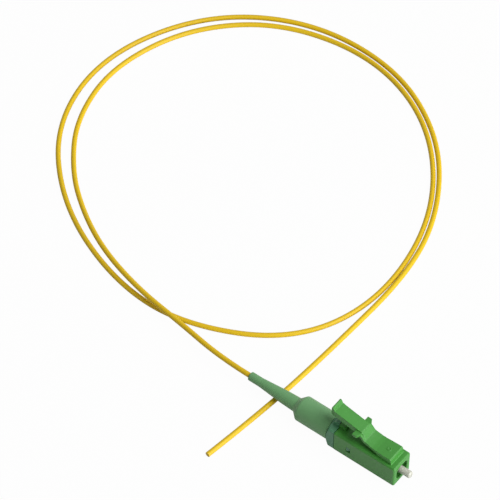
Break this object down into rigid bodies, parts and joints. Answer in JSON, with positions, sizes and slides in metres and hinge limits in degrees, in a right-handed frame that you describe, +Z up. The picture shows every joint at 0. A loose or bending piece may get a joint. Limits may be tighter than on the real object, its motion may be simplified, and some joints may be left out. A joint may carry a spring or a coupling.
{
  "type": "fiber pigtail",
  "caption": "Small-form angled-polish fibre connector with a sprung ceramic ferrule and a thumb latch, on a tight-buffered fibre laid in loose turns to a bare cut end.",
  "frame": {"origin": "middle of the connector's footprint, ferrule tip to boot end, on the surface it lies on", "axes": "+X along the connector towards the ferrule tip, +Y across it, +Z up out of the latch side"},
  "size_m": [0.0958, 0.0869, 0.0094],
  "materials": {
    "housing_green": "fine satin injection-moulded polymer",
    "latch_green": "fine satin injection-moulded polymer",
    "body_teal": "satin injection-moulded polymer",
    "boot_green": "matt soft elastomer",
    "zirconia": "ground and polished white ceramic",
    "holder_metal": "nickel-plated turned brass",
    "tube_plastic": "clear extruded polymer tube",
    "spring_steel": "drawn stainless wire",
    "silica": "polished silica",
    "coating": "smooth acrylate coating",
    "buffer_yellow": "smooth semi-gloss extruded jacket"
  },
  "bodies": {
    "plug": {"plug_housing": "housing_green", "rear_body": "body_teal", "boot": "boot_green", "inner_buffer": "buffer_yellow", "spring": "spring_steel", "pigtail_cord": "buffer_yellow"},
    "latch": {"latch_lever": "latch_green"},
    "ferrule_unit": {"ferrule": "zirconia", "ferrule_holder": "holder_metal", "lead_in_tube": "tube_plastic", "glass_fibre": "silica", "coated_fibre": "coating"}
  },
  "joints": [
    {"name": "latch_press", "type": "hinge", "parent": "plug", "child": "latch", "pos_m": [0.01029, 0, 0.00531], "axis": [0, -1, 0], "range_deg": [0, 12], "stiffness_Nm_per_rad": 0.05, "springref_deg": -1.15},
    {"name": "ferrule_push", "type": "slide", "parent": "plug", "child": "ferrule_unit", "axis": [-1, 0, 0], "range_m": [0, 0.001], "stiffness_N_per_m": 1800, "springref_m": -0.002, "deforming": ["spring"]}
  ]
}
